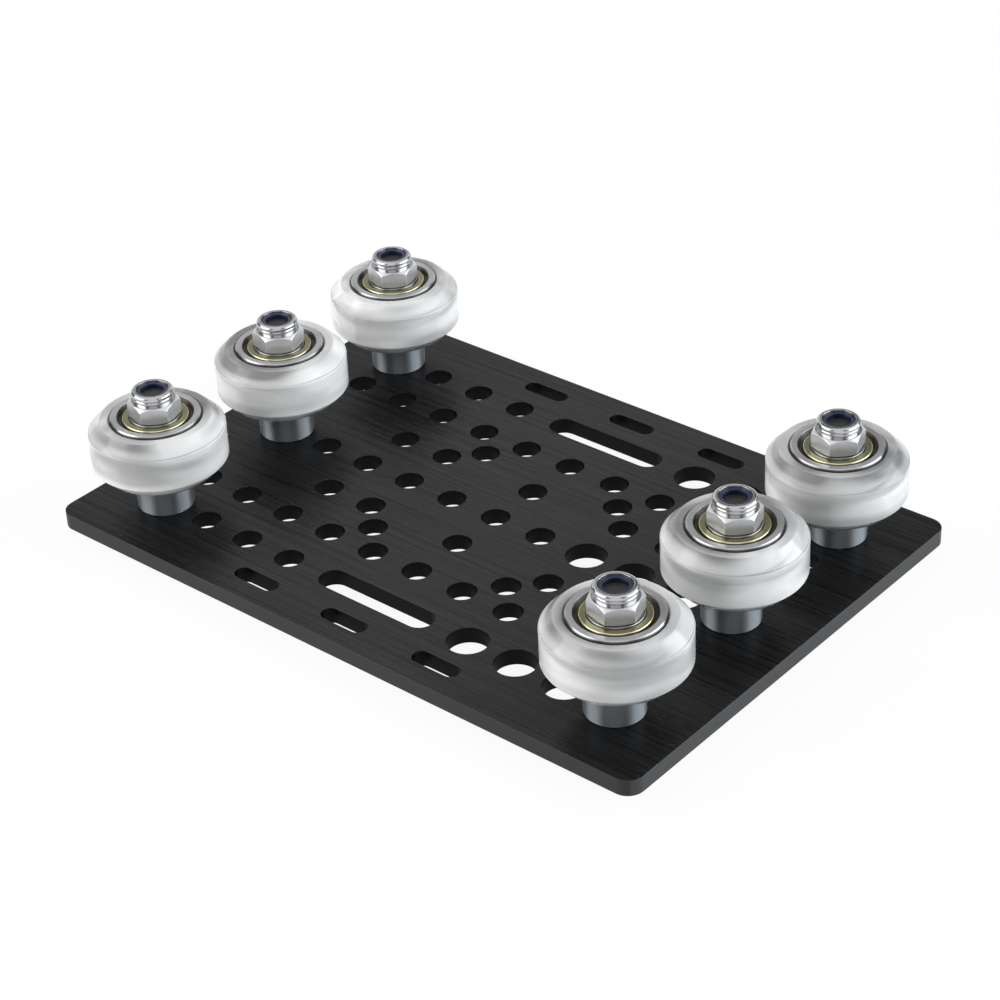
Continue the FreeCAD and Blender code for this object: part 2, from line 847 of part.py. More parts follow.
def collar_outline():
    """Section of the nut above its hexagon: neck, bead, and the collar rolled over the insert."""
    neck = size["neck_diameter"] / 2
    bead = size["bead_diameter"] / 2
    collar = size["collar_diameter"] / 2
    insert = size["insert_diameter"] / 2
    bore = screw_radius + size["nut_clearance"]
    top = nut_base + size["nut_height"]
    roll = size["collar_round"]
    bead_foot = nut_base + size["bead_height"]
    bead_top = bead_foot + size["bead_width"]
    outline = [
        (bore, nut_base),
        (neck, nut_base),
        (neck, nut_base + size["neck_height"]),
        (bead, bead_foot),
        (bead, bead_top),
        (neck, nut_base + size["collar_foot"]),
        (collar, nut_base + size["collar_foot"] + size["collar_rise"]),
        (collar, top - roll),
        (collar - roll, top),
        (insert, top),
        (insert, insert_foot),
        (bore, insert_foot),
    ]
    return outline, {7: (collar - roll, top - roll)}


def make_lock_nut(station):
    """Hexagon with turned corners, a neck with a bead, and a rolled collar."""
    body = new_body("lock_nut_" + station)
    flats = new_sketch(body, "flats_sketch", "XY_Plane", nut_base)
    close_profile(flats, hexagon(size["nut_flats"]))
    pad(body, flats, "hexagon", size["nut_hex_height"])
    trim_corners(body)
    lathe(body, "collar", [collar_outline()])
    bore = new_sketch(body, "bore_sketch", "XY_Plane", nut_base)
    draw_circles(bore, [(0, 0)], size["screw_diameter"] + size["nut_clearance"] * 2)
    cut_through(body, bore, "bore")
    body.Placement = FreeCAD.Placement(
        FreeCAD.Vector(), FreeCAD.Rotation(FreeCAD.Vector(0, 0, 1), size["nut_turn"].value)
    )
    body.setExpression("Placement.Rotation.Angle", size["nut_turn"].text)
    seat_on_axle(body, station)
    nodes.append(body)


def make_insert(station):
    """Nylon ring in the collar, wider below where the screw's thread has formed it."""
    body = new_body("nylon_insert_" + station)
    outside = size["insert_diameter"] / 2
    formed = screw_radius + size["nut_clearance"]
    opening = size["insert_opening"] / 2
    step = screw_tip + size["insert_tip_gap"]
    outline = [
        (formed, insert_foot),
        (outside, insert_foot),
        (outside, insert_top),
        (opening, insert_top),
        (opening, step),
        (formed, step),
    ]
    lathe(body, "insert", [outline])
    seat_on_axle(body, station)
    return body


def group(label, parts):
    """Several like pieces as one sub-part, each still its own solid."""
    compound = doc.addObject("Part::Compound", label)
    compound.Label = label
    compound.Links = parts
    nodes.append(compound)


def make_wheel_sets():
    """Everything that stands on the plate, station by station."""
    middle_shims, lower_shims, inserts = [], [], []
    for station, (column, _, _) in STATIONS.items():
        make_tyre(station)
        make_outer_rings(station)
        make_inner_rings(station)
        make_shields(station)
        make_balls(station)
        make_cages(station)
        if column < 0:
            make_plain_spacer(station)
        else:
            make_eccentric_spacer(station)
        make_screw(station)
        make_lock_nut(station)
        middle_shims.append(make_shim("middle_shim", station, lower_ring + size["bearing_width"]))
        lower_shims.append(make_shim("lower_shim", station, size["spacer_height"]))
        inserts.append(make_insert(station))
    group("bearing_shims", middle_shims)
    group("spacer_shims", lower_shims)
    group("nylon_inserts", inserts)


def check_model():
    """Stop if any object failed or any sub-part has no sound solid."""
    doc.recompute()
    for item in doc.Objects:
        if "Invalid" in item.State or "Error" in item.State:
            raise ValueError("failed: " + item.Label)
    for node in nodes:
        if node.Shape.isNull() or not node.Shape.isValid() or not node.Shape.Solids:
            raise ValueError("no sound solid: " + node.Label)


def write_parts():
    """One STEP file for each sub-part, named after it."""
    os.makedirs("parts", exist_ok=True)
    for node in nodes:
        node.Shape.exportStep("parts/%s.step" % node.Label)
        print(node.Label, len(node.Shape.Solids), "solids", round(node.Shape.Volume, 2), "mm3")


make_plate()
make_wheel_sets()
check_model()
write_parts()
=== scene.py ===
import json
import math

import bpy
import numpy as np
from mathutils import Matrix, Vector
from mathutils.geometry import tessellate_polygon


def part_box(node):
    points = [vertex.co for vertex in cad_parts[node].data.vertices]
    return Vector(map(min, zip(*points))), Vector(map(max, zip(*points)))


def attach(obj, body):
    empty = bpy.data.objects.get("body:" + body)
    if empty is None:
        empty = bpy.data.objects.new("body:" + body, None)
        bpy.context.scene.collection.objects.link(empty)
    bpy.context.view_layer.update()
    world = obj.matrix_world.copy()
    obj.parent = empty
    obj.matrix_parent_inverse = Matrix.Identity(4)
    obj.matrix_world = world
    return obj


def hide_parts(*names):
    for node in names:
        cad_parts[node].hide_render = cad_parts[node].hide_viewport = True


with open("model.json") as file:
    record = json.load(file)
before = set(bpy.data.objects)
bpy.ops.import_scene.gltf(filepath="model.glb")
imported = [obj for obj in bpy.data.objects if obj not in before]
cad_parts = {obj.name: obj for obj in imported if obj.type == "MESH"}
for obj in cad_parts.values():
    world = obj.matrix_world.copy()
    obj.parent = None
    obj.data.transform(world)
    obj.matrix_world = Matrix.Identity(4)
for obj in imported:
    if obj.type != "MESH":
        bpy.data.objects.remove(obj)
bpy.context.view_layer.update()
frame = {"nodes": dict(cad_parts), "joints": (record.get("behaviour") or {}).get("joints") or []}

mm = 0.001                                  # sizes below are in millimetres
up = np.array([0.0, 0.0, 1.0])

# Every wheel station by name, with the foot of its axle, from the joint that the wheel spins on
spin = "wheel_spin_"
stations = {joint["name"][len(spin):]: np.array(joint["pos_m"]) / mm
            for joint in frame["joints"] if joint["name"].startswith(spin)}


def nodeBox(node):                          # lowest and highest corner of a node, in millimetres
    low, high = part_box(node)
    return np.array(low) / mm, np.array(high) / mm


print("frame:", len(frame["nodes"]), "nodes,", len(stations), "wheel stations")


# Shader maths. A Wire is one socket of a material, and sums of wires add the Math nodes for them.
class Wire:
    def __init__(self, tree, socket=None):
        self.tree = tree
        self.socket = socket

    # Any node: its settings come first, then a number, colour or wire for each input named.
    def node(self, kind, settings={}, inputs={}, out=0):
        made = self.tree.nodes.new(kind)
        for name, value in settings.items():
            if name != "stops":
                setattr(made, name, value)
                continue
            while len(made.color_ramp.elements) < len(value):
                made.color_ramp.elements.new(1.0)
            for element, (at, shade) in zip(made.color_ramp.elements, value):
                element.position = at
                element.color = (*shade, 1.0)
        for name, value in inputs.items():
            if isinstance(value, Wire):
                self.tree.links.new(value.socket, made.inputs[name])
            else:
                made.inputs[name].default_value = value
        return Wire(self.tree, made.outputs[out] if len(made.outputs) else None)

    def math(self, operation, *terms):
        return self.node("ShaderNodeMath", {"operation": operation}, dict(enumerate(terms)))

    def __add__(self, other):
        return self.math("ADD", self, other)

    def __sub__(self, other):
        return self.math("SUBTRACT", self, other)

    def __rsub__(self, other):
        return self.math("SUBTRACT", other, self)

    def __mul__(self, other):
        return self.math("MULTIPLY", self, other)

    def __gt__(self, other):
        return self.math("GREATER_THAN", self, other)

    __radd__ = __add__
    __rmul__ = __mul__


def newFinish(name):                        # an empty material and the wire its nodes start from
    finish = bpy.data.materials.new(name)
    finish.use_nodes = True
    finish.node_tree.nodes.clear()
    return finish, Wire(finish.node_tree)


def here(start):                            # Object coordinates, which are metres in the frame
    return start.node("ShaderNodeTexCoord", out="Object")


def stretched(start, scale):                # the same place, scaled along each axis
    return start.node("ShaderNodeMapping", {}, {"Vector": here(start), "Scale": scale})


def noise(start, where, scale, detail=2.0, roughness=0.5):
    inputs = {"Vector": where, "Scale": scale, "Detail": detail, "Roughness": roughness}
    return start.node("ShaderNodeTexNoise", {}, inputs)


def spread(start, value, low, high):        # 0 where the value is low, 1 where it is high
    return start.node("ShaderNodeMapRange", {}, {"Value": value, "From Min": low, "From Max": high})


def part(start, vector, axis):              # one of a vector's three numbers
    return start.node("ShaderNodeSeparateXYZ", {}, {0: vector}, out=axis)


def between(share, low, high):              # a number that runs from low to high with share
    return share * (high - low) + low


def blend(start, share, first, second):     # a colour between two colours, sockets 6 and 7
    inputs = {0: share, 6: first if isinstance(first, Wire) else (*first, 1.0),
              7: second if isinstance(second, Wire) else (*second, 1.0)}
    return start.node("ShaderNodeMix", {"data_type": "RGBA"}, inputs, out=2)


def bump(start, height, strength, depth):   # a normal for the shader, its depth in metres
    inputs = {"Height": height, "Strength": strength, "Distance": depth}
    return start.node("ShaderNodeBump", {}, inputs)


def radius(start):                          # distance from the piece's own axle, in millimetres
    return start.node("ShaderNodeAttribute", {"attribute_name": "radius"}, {}, out="Fac")


def turningMarks(start, pitch):             # fine rings that a lathe leaves, by radius and height
    rings = {0: radius(start) * (1 / pitch), 1: part(start, here(start), 2) * (1 / (pitch * mm))}
    return noise(start, start.node("ShaderNodeCombineXYZ", {}, rings), 1.0, detail=3.0)


def nearRadius(start, middle, reach):       # 1 where the radius is within reach of the middle
    return start.math("COMPARE", radius(start), middle, reach)


def finishWith(start, inputs):              # the material's shader and its way out
    shader = start.node("ShaderNodeBsdfPrincipled", {}, inputs)
    start.node("ShaderNodeOutputMaterial", {}, {"Surface": shader})


def addObject(name, data):
    made = bpy.data.objects.new(name, data)
    bpy.context.scene.collection.objects.link(made)
    return made


# Softens the corners of an outline of radius, height and sideways shift, given as
# outline[corner, ..., 3]. Each corner gives way to a parabola that leaves one side and joins the
# next a distance trim from the corner: (1 - u)(1 - u) start + 2u(1 - u) corner + u u end.
def softCorners(outline, trim, steps=4, closed=True):
    outline = np.asarray(outline, float)
    flat = (1,) * (outline.ndim - 1)
    trim = np.reshape(trim, (-1,) + flat)
    ends = []
    for side in (np.roll(outline, 1, 0) - outline, np.roll(outline, -1, 0) - outline):
        length = np.maximum(np.linalg.norm(side, axis=-1, keepdims=True), 1e-9)
        reach = np.minimum(trim, 0.45 * length)  # less than half a side, so that none cross
        ends.append((outline + side / length * reach)[:, None])
    corner = outline[:, None]
    u = np.linspace(0, 1, steps + 1).reshape((-1,) + flat)
    rows = (1 - u) ** 2 * ends[0] + 2 * u * (1 - u) * corner + u ** 2 * ends[1]
    slopes = (1 - u) * (corner - ends[0]) + u * (ends[1] - corner)
    if not closed:
        rows, slopes = rows[1:-1], slopes[1:-1]
    rows, slopes = (grid.reshape((-1,) + outline.shape[1:]) for grid in (rows, slopes))
    if not closed:                          # an open outline keeps its two ends as they are
        first, last = outline[1:2] - outline[:1], outline[-1:] - outline[-2:-1]
        rows = np.concatenate([outline[:1], rows, outline[-1:]])
        slopes = np.concatenate([first, slopes, last])
    return rows, slopes


# Carries an outline round an upright axle. The point at row s and turn t is
# (x + r cos t, y + shift + r sin t, z), and the normal there is the cross product of the way round
# and the way along the outline.
def turned(rows, slopes, axle, turns, closed=True):
    if rows.ndim == 2:
        rows, slopes = (np.repeat(grid[:, None], len(turns), 1) for grid in (rows, slopes))

    def carried(grid):
        return np.stack([grid[..., 0] * np.cos(turns), grid[..., 2] + grid[..., 0] * np.sin(turns),
                         grid[..., 1]], -1)

    points = carried(rows) + [axle[0], axle[1], 0]
    around = np.roll(points, -1, 1) - np.roll(points, 1, 1)
    normals = np.cross(around, carried(slopes))
    if not closed:                          # at the two poles the surface lies level
        normals[0], normals[-1] = -up, up
    normals /= np.maximum(np.linalg.norm(normals, axis=-1, keepdims=True), 1e-12)
    return {"points": points, "normals": normals, "radius": rows[..., 0], "closed": closed}


def evenTurns(count):                       # turns of a plain round surface
    return np.arange(count) * 2 * math.pi / count


def level(outline):                         # an outline with no sideways shift
    outline = np.asarray(outline, float)
    return np.concatenate([outline, np.zeros(outline.shape[:-1] + (1,))], -1)


# A plain round piece: a closed outline of radius and height, softened and carried round the axle.
# Where it encloses a negative area it is turned, which keeps the faces outwards.
def ring(outline, axle, trim, count=160, steps=4):
    outline = level(outline)
    x, z = outline[:, 0], outline[:, 1]
    if np.sum(x * np.roll(z, -1) - np.roll(x, -1) * z) < 0:
        outline = outline[::-1]
        trim = np.reshape(trim, -1)[::-1]
    return turned(*softCorners(outline, trim, steps), axle, evenTurns(count))


# A rounded hexagon seen from above, as turns and radii. Each side runs straight between two corner
# parabolas, and at share a of it the way along is (1 - cos(180 degrees a)) / 2, closer together
# near the corners.
def hexagon(flats, trim, turn, sideSteps=22, steps=5):
    angle = np.radians(turn) + np.arange(6) * math.pi / 3
    corner = flats / math.sqrt(3)
    corners = np.stack([corner * np.cos(angle), corner * np.sin(angle)], -1)
    rows, _ = softCorners(corners, trim, steps)
    rows = rows.reshape(6, steps + 1, 2)
    ease = np.linspace(0, math.pi, sideSteps + 1)[1:-1, None]
    share = (1 - np.cos(ease)) / 2
    side = rows[:, -1:] * (1 - share) + np.roll(rows, -1, 0)[:, :1] * share
    outline = np.concatenate([rows, side], 1).reshape(-1, 2)
    turns = np.unwrap(np.arctan2(outline[:, 1], outline[:, 0]))
    return turns, np.hypot(outline[:, 0], outline[:, 1])


# Numbers the faces of a grid that closes round the axle. Along its outline it closes too, or ends
# in two poles, where each row shrinks to one point.
def gridFaces(shell, first):
    rows, columns = shell["points"].shape[:2]
    number = np.arange(rows * columns).reshape(rows, columns) + first
    if not shell["closed"]:
        number[0], number[-1] = number[0, 0], number[-1, 0]
    low = number if shell["closed"] else number[:-1]
    high = np.roll(number, -1, 0) if shell["closed"] else number[1:]
    quads = np.stack([low, np.roll(low, -1, 1), np.roll(high, -1, 1), high], -1)
    if shell["closed"]:
        return [quads.reshape(-1, 4)]
    return [quads[1:-1].reshape(-1, 4), quads[0][:, [0, 2, 3]], quads[-1][:, [0, 1, 2]]]


# One piece from its shells: welds their grids into a mesh in the frame's own place, sets each
# point's normal and radius, and lets the piece ride with its body and stand for its nodes.
def makePiece(name, shells, finish, body, slot, *nodes):
    faces, first = [], 0
    for shell in shells:
        faces += gridFaces(shell, first)
        first += shell["radius"].size
    points, normals = (np.concatenate([shell[key].reshape(-1, 3) for shell in shells])
                       for key in ("points", "normals"))
    radii = np.concatenate([shell["radius"].ravel() for shell in shells])
    used = np.unique(np.concatenate([face.ravel() for face in faces]))
    renumbered = np.zeros(len(points), int)
    renumbered[used] = np.arange(len(used))
    faces = [corners for face in faces for corners in renumbered[face].tolist()]
    addMesh(name, points[used], faces, normals[used], radii[used], finish, body, nodes)


def addMesh(name, points, faces, normals, radii, finish, body, nodes):
    mesh = bpy.data.meshes.new(name)
    mesh.from_pydata((points * mm).tolist(), [], faces)
    attribute = mesh.attributes.new("radius", "FLOAT", "POINT")
    attribute.data.foreach_set("value", radii.astype(np.float32))
    mesh.polygons.foreach_set("use_smooth", np.ones(len(faces), bool))
    mesh.normals_split_custom_set_from_vertices(normals.tolist())
    mesh.materials.append(finish)
    piece = addObject(name, mesh)
    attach(piece, body)
    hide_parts(*nodes)


plate = {
    "edge": 0.1,                            # radius of every edge
    "cornerRadius": 3.0,
    "pitch": 10.0,                          # columns, counted from the middle of the plate
    "screwHole": 5.1,
    "bossHole": 7.2,
    "middleRow": range(-5, 2),              # columns with a screw hole on the middle line
    "outerRow": (20.5, range(-5, 6)),       # distance from that line, and columns
    "innerRow": (10.1, (-3, -2, 0, 2, 3)),
    "cornerHoles": 15.0,                    # four single holes, this far out both ways
    "wheelRow": 30.6,                       # distance of the long slots and the wheels' holes
    "plainColumns": range(-5, -1),          # screw holes beside the long slots
    "bossColumns": range(2, 6),             # boss holes beside them and on the middle line
    "shortSlot": (9.4, 3.1, 38.4, (-20.0, 0.0, 20.0)),  # length, width, row, columns
    "longSlot": (24.4, 5.1),
    "streaks": ((40.0, 2800.0, 1.0), (14.0, 1100.0, 1.0)),  # fine and broad brush marks
    "grain": (0.4, 0.6),                    # streak values that show black and fully brushed
    "brushDepth": 0.00006,                  # metres
    "black": (0.022, 0.0224, 0.0231),
    "brushed": (0.0405, 0.0412, 0.0424),
    "rim": (0.0205, 0.021, 0.022),          # front and back sides
    "sawn": (0.036, 0.0378, 0.040),         # the two ends, with painted light: lighter and cooler than the sides
    # painted shade: the hole walls are coloured near black
    "bored": (0.003, 0.003, 0.003),
    "edgeShine": (0.55, 0.55, 0.56),        # how much shine the metal keeps at a shallow angle
    "metallic": (0.2, 0.72),                # on the sides, and on the faces and in the holes
    "roughness": (0.25, 0.33),
    "sideRoughness": 0.45,
}


# Outline of a rectangle with round corners, or of a slot or circle where the radius is half a side.
# At turn t its point is the centre of the nearest corner + radius (cos t, sin t).
def roundedRectangle(x, y, length, width, corner, quarter=14):
    degrees = np.concatenate([np.linspace(0, 90, quarter + 1) + 90 * k for k in range(4)])
    turns = degrees * math.pi / 180
    side = np.repeat([[1, 1], [-1, 1], [-1, -1], [1, -1]], quarter + 1, 0)
    normals = np.stack([np.cos(turns), np.sin(turns)], -1)
    inner = np.array([length / 2 - corner, width / 2 - corner])
    points = side * inner + normals * corner + [x, y]
    apart = np.linalg.norm(points - np.roll(points, 1, 0), axis=1) > 1e-6
    return points[apart], normals[apart]


# A band over one edge of the plate: from the top face round the edge, down the wall and round to
# the bottom face. At share a of the quarter turn it stands edge (1 - sin a) into the plate and
# edge (1 - cos a) below its face.
def edgeBand(points, outward, low, high, edge, steps=3):
    quarter = np.linspace(0, math.pi / 2, steps + 1)
    inset = np.concatenate([1 - np.sin(quarter), (1 - np.sin(quarter))[::-1]]) * edge
    drop = (1 - np.cos(quarter)) * edge
    heights = np.concatenate([high - drop, (low + drop)[::-1]])
    rise = np.concatenate([np.cos(quarter), -np.cos(quarter)[::-1]])
    lean = np.concatenate([np.sin(quarter), np.sin(quarter)[::-1]])
    grid = np.zeros((len(inset), len(points), 3))
    grid[..., :2] = points - outward * inset[:, None, None]
    grid[..., 2] = heights[:, None]
    normals = np.zeros_like(grid)
    normals[..., :2] = outward * lean[:, None, None]
    normals[..., 2] = rise[:, None]
    return grid, normals


def plateHoles():                           # (x, y, length, width) of every hole and slot
    pitch, screw, boss = plate["pitch"], plate["screwHole"], plate["bossHole"]
    outer, inner = plate["outerRow"], plate["innerRow"]
    wheel, corner = plate["wheelRow"], plate["cornerHoles"]
    holes = [(column * pitch, 0, screw, screw) for column in plate["middleRow"]]
    for row in (-1, 1):
        holes += [(column * pitch, row * outer[0], screw, screw) for column in outer[1]]
        holes += [(column * pitch, row * inner[0], screw, screw) for column in inner[1]]
        holes += [(column * pitch, row * wheel, screw, screw) for column in plate["plainColumns"]]
        holes += [(side * corner, row * corner, screw, screw) for side in (-1, 1)]
        length, width, place, middles = plate["shortSlot"]
        holes += [(middle, row * place, length, width) for middle in middles]
        holes += [(0, row * wheel, *plate["longSlot"])]
    holes += [(column * pitch, row * wheel, boss, boss) for row in (-1, 0, 1)
              for column in plate["bossColumns"]]
    return holes


# The plate: a band over its rim and over each hole's edge, and two flat faces cut between them.
def makePlate():
    low, high = nodeBox("gantry_plate")
    length, width, _ = high - low
    rim, outward = roundedRectangle(0, 0, length, width, plate["cornerRadius"])
    bands = [edgeBand(rim, outward, low[2], high[2], plate["edge"])]
    for x, y, length, width in plateHoles():
        loop, outward = roundedRectangle(x, y, length, width, width / 2)
        bands.append(edgeBand(loop[::-1], -outward[::-1], low[2], high[2], plate["edge"]))
    faces, tops, bottoms, first = [], [], [], 0
    for grid, _ in bands:
        rows, columns = grid.shape[:2]
        number = np.arange(rows * columns).reshape(rows, columns) + first
        above, below = number[:-1], number[1:]
        quads = np.stack([below, np.roll(below, -1, 1), np.roll(above, -1, 1), above], -1)
        faces += quads.reshape(-1, 4).tolist()
        tops.append(number[0])
        bottoms.append(number[-1])
        first += rows * columns
    points, normals = (np.concatenate([band[k].reshape(-1, 3) for band in bands]) for k in (0, 1))
    cut = tessellate_polygon([[Vector(point) for point in points[loop]] for loop in tops])
    for loops, facing in ((tops, 1), (bottoms, -1)):
        corners = np.concatenate(loops)[np.array(cut)]
        a, b, c = (points[corners[:, k]] for k in range(3))
        turn = (b - a)[:, 0] * (c - a)[:, 1] - (b - a)[:, 1] * (c - a)[:, 0]
        corners[turn * facing < 0] = corners[turn * facing < 0][:, ::-1]
        faces += corners.tolist()
    rimPoints = bands[0][0][..., 0].size
    radii = (np.arange(len(points)) >= rimPoints) * 1.0  # 0 on the rim, 1 in the holes
    addMesh("drilled_plate", points, faces, normals, radii, blackAnodised(), "carriage",
            ["gantry_plate"])


# Black anodised aluminium, brushed along X on its two faces and plain satin on its sides, with
# painted light making the two ends lighter and cooler, and painted shade making the hole walls near
# black.
def blackAnodised():
    finish, start = newFinish("blackAnodised")
    streaks, broad = (noise(start, stretched(start, scale), 1.0, detail=3.0, roughness=0.6)
                      for scale in plate["streaks"])
    facing = start.node("ShaderNodeNewGeometry", out="Normal")
    flat, end = (start.math("ABSOLUTE", part(start, facing, axis)) > 0.7 for axis in (2, 0))
    grain = spread(start, (streaks + broad) * 0.5, *plate["grain"])
    face = blend(start, grain, plate["black"], plate["brushed"])
    # painted light: the two ends take a lighter, cooler colour than the front and back sides
    rim = blend(start, end, plate["rim"], plate["sawn"])
    # painted shade: the hole walls take the near-black colour
    side = blend(start, radius(start), rim, plate["bored"])
    rough = between(grain, *plate["roughness"])
    finishWith(start, {
        "Base Color": blend(start, flat, side, face),
        "Metallic": between(start.math("MAXIMUM", flat, radius(start)), *plate["metallic"]),
        "Specular Tint": (*plate["edgeShine"], 1.0),
        "Roughness": (1 - flat) * plate["sideRoughness"] + rough * flat,
        "Normal": bump(start, streaks * flat, strength=0.25, depth=plate["brushDepth"]),
    })
    return finish


makePlate()
print("plate:", len(plateHoles()), "holes and slots")

tyre = {
    "tread": 5.9,                           # width of the flat tread
    "seat": 16.0,                           # bore for the bearings
    "lip": 13.9,                            # bore of the lip between them
    "lipWidth": 1.0,
    "mouth": 0.3,                           # chamfer at both ends of the bore
    "soft": 0.18,                           # rounding of the tread's and the faces' edges
    "crisp": 0.06,                          # rounding of all the rest
    "clear": (0.998, 0.998, 0.998),
    "deep": (0.3, 0.301, 0.303),            # painted shade standing in for the steel inside seen through the skin; the clouds' grey too
    # how much of that painted shade shows, by radius
    "depths": ((8.3, 0.55), (9.6, 0.24), (9.9, 0.55), (10.5, 0.42), (11.2, 0.14), (12.0, 0.12)),
    "seam": (0.15, 0.07, 0.55),             # grey line painted along the upper bevel's edge: inset, half width, greyness
    "roughness": (0.08, 0.2),
    "transmission": 0.44,
    "cloudStretch": (1.0, 1.0, 4.5),
    "cloudScale": 62.0,
    "cloudEdges": (0.36, 0.62),
    "cloudDepth": 2.0,                      # how strongly the clouds bring out the painted shade
    "milk": (0.02, 0.36),                   # greyness of the clearest and the milkiest clouds
    "density": 1.4,                         # index of refraction
}


# Tyre. Half its outline runs from the tread over bevel and face into the bore's mouth, along the
# bearing's seat and in to the lip. The other half mirrors it.
def makeTyre(station, axle, finish):
    low, high = nodeBox("wheel_tyre_" + station)
    outside, half, middle = (high - low)[0] / 2, (high - low)[2] / 2, (high + low)[2] / 2
    tread, lip, mouth = tyre["tread"] / 2, tyre["lipWidth"] / 2, tyre["mouth"]
    face = outside - (half - tread)         # the bevels run at 45 degrees
    seat, bore = tyre["seat"] / 2, tyre["lip"] / 2
    upper = [(outside, tread), (face, half), (seat + mouth, half), (seat, half - mouth),
             (seat, lip), (bore, lip)]
    outline = [(r, middle + z) for r, z in upper] + [(r, middle - z) for r, z in upper[::-1]]
    trims = [tyre["soft"]] * 2 + [tyre["crisp"]] * 4
    shell = ring(outline, axle, trims + trims[::-1], count=192, steps=6)
    makePiece("tyre_" + station, [shell], finish, "wheel_" + station, "clear_polycarbonate",
              "wheel_tyre_" + station)


# Frosted clear polycarbonate: light passes softened. Painted shade makes it greyer where the
# bearings lie under the skin, in soft clouds, and a grey line is painted where the upper bevel
# meets the tread.
def frostedClear():
    finish, start = newFinish("frostedClear")
    drift = noise(start, stretched(start, tyre["cloudStretch"]), tyre["cloudScale"],
                  detail=1.0, roughness=0.4)
    clouds = spread(start, drift, *tyre["cloudEdges"])
    low, high = nodeBox("wheel_tyre_" + next(iter(stations)))
    outside, middle = (high - low)[0] / 2, (high + low)[2] / 2
    near, far = tyre["depths"][0][0], tyre["depths"][-1][0]
    stops = [((r - near) / (far - near), (depth,) * 3) for r, depth in tyre["depths"]]
    share = spread(start, radius(start), near, far)
    # painted shade by radius, standing in for the steel seen through the skin
    depth = start.node("ShaderNodeValToRGB", {"stops": stops}, {"Fac": share})
    inset, halfWidth, dark = tyre["seam"]
    above = part(start, here(start), 2) > middle * mm
    # a grey line painted along the edge where the upper bevel meets the tread
    seam = nearRadius(start, outside - inset, halfWidth) * above
    cloudy = depth * (clouds * tyre["cloudDepth"]) + between(clouds, *tyre["milk"])
    grey = start.math("MAXIMUM", cloudy, seam * dark)
    finishWith(start, {
        "Base Color": blend(start, grey, tyre["clear"], tyre["deep"]),
        "Roughness": between(clouds, *tyre["roughness"]),
        "Transmission Weight": tyre["transmission"],
        "IOR": tyre["density"],
    })
    return finish


bearing = {
    "width": 5.0,
    "chamfer": 0.3,
    "shieldSeat": 13.4,                     # stepped seat for the shield, and its depth
    "seatDepth": 0.95,
    "shoulder": 12.0,
    "innerShoulder": 9.0,
    "bore": 5.0,
    "ball": 2.48,                           # width of the ball groove
    "circle": 10.5,
    "shield": 0.2,                          # sheet thickness
    "shieldRim": 11.4,
    "shieldSlope": 0.2,
    "shieldSetback": 0.25,
    "shieldGap": 0.15,
    "clearance": 0.02,                      # keeps the outer ring just clear of the clear tyre
    "crisp": 0.05,                          # rounding of the rings' edges and the shields'
    "innerCrisp": 0.07,
    "grinding": 0.15,                       # pitch of the grinding rings
    "steel": ((0.45, 0.45, 0.46), (0.52, 0.52, 0.53)),
    "steelRoughness": (0.26, 0.34),
    # painted shade colour for the chamfer's shadow line and the face under the nut
    "edge": (0.1, 0.1, 0.1),
    "darkEdge": 7.84,                       # radius where the painted shadow line on the outer ring's chamfer starts
    "darkFace": (4.12, 0.28),               # middle and half width of the painted shade on the inner ring's face under the nut
    "gold": ((0.22, 0.208, 0.115), (0.30, 0.285, 0.165)),
    "goldRoughness": (0.24, 0.34),
    "rolled": (0.78, 0.75, 0.48),           # painted highlight: a bright line along the shield's rolled rim
    "rolledReach": 0.07,
    # painted shade for the shield's slope and flange down in the groove
    "dark": (0.05, 0.045, 0.03),
}


# Half the section of a ball groove: at angle a about the ball's middle it is (cos a, sin a) of the
# groove's radius, between the two shoulders.
def groove(shoulder, steps=7):
    circle, ball = bearing["circle"] / 2, bearing["ball"] / 2
    reach = math.asin(math.sqrt(ball ** 2 - (shoulder / 2 - circle) ** 2) / ball)
    angle = np.linspace(reach, -reach, steps)
    side = 1 if shoulder / 2 > circle else -1
    return [(circle + side * ball * math.cos(a), ball * math.sin(a)) for a in angle]


def ringBases(node):                        # undersides of the lower and the upper bearing
    low, high = nodeBox(node)
    return low[2], high[2] - bearing["width"]


# Outer rings. Each outline goes up the chamfered outside, in over the shield's seat, down the ball
# groove between its shoulders, and out over the lower seat.
def makeOuterRings(station, axle, finish):
    node = "bearing_outer_rings_" + station
    width, chamfer, depth = bearing["width"], bearing["chamfer"], bearing["seatDepth"]
    seat, shoulder = bearing["shieldSeat"] / 2, bearing["shoulder"] / 2
    outside = (nodeBox(node)[1] - nodeBox(node)[0])[0] / 2 - bearing["clearance"]
    shells = []
    for base in ringBases(node):
        track = [(r, base + width / 2 + z) for r, z in groove(bearing["shoulder"])]
        top = base + width
        outline = [(outside - chamfer, base), (outside, base + chamfer), (outside, top - chamfer),
                   (outside - chamfer, top), (seat, top), (seat, top - depth),
                   (shoulder, top - depth), *track, (shoulder, base + depth),
                   (seat, base + depth), (seat, base)]
        shells.append(ring(outline, axle, bearing["crisp"], count=144, steps=3))
    makePiece("outer_rings_" + station, shells, finish, "wheel_" + station, "bearing_steel", node)


